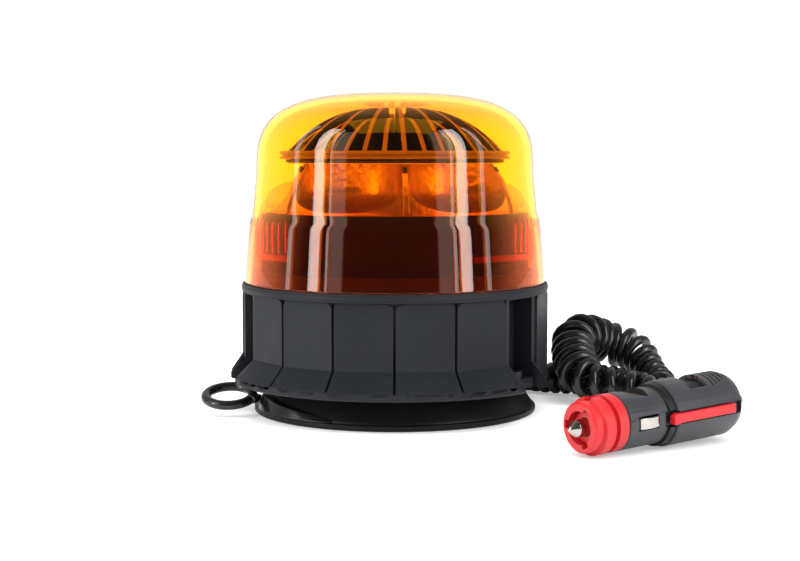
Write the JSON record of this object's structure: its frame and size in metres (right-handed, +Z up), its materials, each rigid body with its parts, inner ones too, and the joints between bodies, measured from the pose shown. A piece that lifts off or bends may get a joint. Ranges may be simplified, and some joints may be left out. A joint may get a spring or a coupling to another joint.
{
  "type": "magnetic warning beacon",
  "caption": "Magnet-mount amber warning beacon: finned light unit under a domed lens on a panelled skirt, with a curly cord to a lighter plug.",
  "frame": {"origin": "centre of the magnet foot's face, on the surface it stands on", "axes": "+Z up along the beacon's axis, -Y towards the front, +X towards the side where the cord lies"},
  "size_m": [0.2117, 0.1997, 0.1304],
  "materials": {
    "boot_rubber": "matte moulded",
    "cup_steel": "zinc plated",
    "magnet_ferrite": "sintered, dull",
    "screw_steel": "zinc plated",
    "cover_plastic": "moulded",
    "seal_rubber": "matte",
    "vent_plastic": "matte",
    "housing_plastic": "finely textured moulded",
    "lens_amber": "clear tinted gloss",
    "drum_plastic": "satin moulded",
    "board_green": "solder mask",
    "capacitor_can": "sleeved can",
    "inductor_winding": "wound core",
    "chip_epoxy": "matte",
    "connector_plastic": "moulded",
    "wire_red": "insulated",
    "wire_yellow": "insulated",
    "reflector_metallised": "metallised",
    "clip_plastic": "clear moulded",
    "board_white": "white solder mask",
    "led_phosphor": "silicone dome",
    "pad_grey": "matte",
    "sink_black": "black anodised",
    "cord_jacket": "semi gloss jacket",
    "plug_plastic": "satin moulded",
    "red_plastic": "satin moulded",
    "nickel": "nickel plated",
    "spring_steel": "bright wire",
    "fuse_glass": "glass tube",
    "brass": "plain"
  },
  "bodies": {
    "beacon": {"magnet_boot": "boot_rubber", "magnet_cup": "cup_steel", "ring_magnet": "magnet_ferrite", "pole_plate": "cup_steel", "magnet_screws": "screw_steel", "bottom_cover": "cover_plastic", "bottom_seal": "seal_rubber", "vent_plug": "vent_plastic", "base_housing": "housing_plastic", "base_screws": "screw_steel", "lens_seal": "seal_rubber", "lens": "lens_amber", "inner_drum": "drum_plastic", "driver_board": "board_green", "capacitors": "capacitor_can", "inductor": "inductor_winding", "driver_chips": "chip_epoxy", "board_connector": "connector_plastic", "board_screws": "screw_steel", "supply_lead": "wire_red", "led_lead": "wire_yellow", "reflector_ring": "reflector_metallised", "reflector_clips": "clip_plastic", "led_board": "board_white", "led_emitters": "led_phosphor", "thermal_pad": "pad_grey", "heat_sink": "sink_black", "stack_screws": "screw_steel", "cord_gland": "seal_rubber", "cord_lead_base": "cord_jacket", "curly_cord": "cord_jacket", "cord_lead_plug": "cord_jacket", "plug_strain_relief": "seal_rubber", "plug_shell_upper": "plug_plastic", "plug_shell_lower": "plug_plastic", "plug_screws": "screw_steel", "plug_collar": "plug_plastic", "plug_nose": "plug_plastic", "fuse": "fuse_glass", "fuse_clip": "brass"},
    "pull_ring": {"pull_ring": "boot_rubber"},
    "adapter": {"plug_adapter": "red_plastic"},
    "tip": {"tip_contact": "nickel", "tip_spring": "spring_steel"},
    "contact_left": {"side_contact_left": "nickel"},
    "contact_right": {"side_contact_right": "nickel"},
    "lock_sliders": {"lock_slider_left": "red_plastic", "lock_slider_right": "red_plastic"}
  },
  "joints": [
    {"name": "pull_ring_flex", "type": "hinge", "parent": "beacon", "child": "pull_ring", "pos_m": [-0.05556, -0.01593, 0.006], "axis": [-0.2756, 0.9613, 0], "range_deg": [-8, 5], "stiffness_Nm_per_rad": 0.05},
    {"name": "adapter_twist", "type": "hinge", "parent": "beacon", "child": "adapter", "pos_m": [0.07037, -0.10405, 0.01082], "axis": [0.8243, 0.5644, 0.0454], "range_deg": [0, 35]},
    {"name": "tip_press", "type": "slide", "parent": "beacon", "child": "tip", "axis": [0.8243, 0.5644, 0.0454], "range_m": [0, 0.003], "stiffness_N_per_m": 400},
    {"name": "contact_left_press", "type": "slide", "parent": "beacon", "child": "contact_left", "axis": [0.565, -0.8251, 0], "range_m": [0, 0.0014], "stiffness_N_per_m": 500},
    {"name": "contact_right_press", "type": "slide", "parent": "beacon", "child": "contact_right", "axis": [-0.565, 0.8251, 0], "range_m": [0, 0.0014], "stiffness_N_per_m": 500},
    {"name": "lock_slide", "type": "slide", "parent": "beacon", "child": "lock_sliders", "axis": [0.8243, 0.5644, 0.0454], "range_m": [-0.002, 0.0018]}
  ]
}
